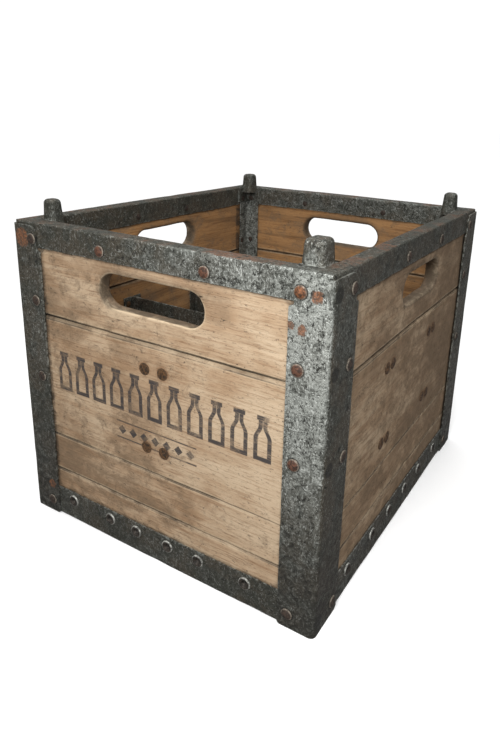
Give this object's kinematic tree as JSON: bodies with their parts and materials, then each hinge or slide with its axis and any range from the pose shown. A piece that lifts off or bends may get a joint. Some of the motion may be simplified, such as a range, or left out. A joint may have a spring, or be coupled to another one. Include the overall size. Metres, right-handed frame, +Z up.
{
  "type": "milk bottle crate",
  "caption": "Old open wooden bottle crate bound in riveted sheet steel, with hand holes, corner stacking lugs, bottle dividers and a slatted floor.",
  "frame": {"origin": "centre of the underside, on the surface the crate stands on", "axes": "+Z up; -Y out of the front wall, +X out of the right wall; the front and back walls run along X"},
  "size_m": [0.3092, 0.3592, 0.297],
  "materials": {
    "wall_board_wood": "bare weathered softwood, worn and stained",
    "floor_slat_wood": "bare rough wood, darkened by use",
    "galvanised_sheet": "old galvanised sheet, dulled, scratched and rust spotted",
    "divider_sheet": "thin galvanised sheet, dull",
    "aged_rivet": "rusted rivet heads with worn bright edges"
  },
  "bodies": {
    "root": {"back_bottom_band": "galvanised_sheet", "back_bottom_board": "wall_board_wood", "back_cross_divider": "divider_sheet", "back_divider_angles": "divider_sheet", "back_left_corner_angle": "galvanised_sheet", "back_left_inner_corner_strip": "galvanised_sheet", "back_left_stacking_lug": "galvanised_sheet", "back_lower_board": "wall_board_wood", "back_middle_board": "wall_board_wood", "back_right_corner_angle": "galvanised_sheet", "back_right_inner_corner_strip": "galvanised_sheet", "back_right_stacking_lug": "galvanised_sheet", "back_rim_channel": "galvanised_sheet", "back_top_board": "wall_board_wood", "band_rivets": "aged_rivet", "corner_rivets": "aged_rivet", "divider_rivets": "aged_rivet", "floor_rivets": "aged_rivet", "floor_slat_1": "floor_slat_wood", "floor_slat_2": "floor_slat_wood", "floor_slat_3": "floor_slat_wood", "floor_slat_4": "floor_slat_wood", "floor_slat_5": "floor_slat_wood", "floor_slat_6": "floor_slat_wood", "front_bottom_band": "galvanised_sheet", "front_bottom_board": "wall_board_wood", "front_cross_divider": "divider_sheet", "front_divider_angles": "divider_sheet", "front_left_corner_angle": "galvanised_sheet", "front_left_inner_corner_strip": "galvanised_sheet", "front_left_stacking_lug": "galvanised_sheet", "front_lower_board": "wall_board_wood", "front_middle_board": "wall_board_wood", "front_right_corner_angle": "galvanised_sheet", "front_right_inner_corner_strip": "galvanised_sheet", "front_right_stacking_lug": "galvanised_sheet", "front_rim_channel": "galvanised_sheet", "front_top_board": "wall_board_wood", "left_bottom_band": "galvanised_sheet", "left_bottom_board": "wall_board_wood", "left_divider_angles": "divider_sheet", "left_lower_board": "wall_board_wood", "left_middle_board": "wall_board_wood", "left_rim_channel": "galvanised_sheet", "left_top_board": "wall_board_wood", "long_divider": "divider_sheet", "lug_rivets": "aged_rivet", "right_bottom_band": "galvanised_sheet", "right_bottom_board": "wall_board_wood", "right_divider_angles": "divider_sheet", "right_lower_board": "wall_board_wood", "right_middle_board": "wall_board_wood", "right_rim_channel": "galvanised_sheet", "right_top_board": "wall_board_wood", "rim_rivets": "aged_rivet"}
  },
  "joints": []
}
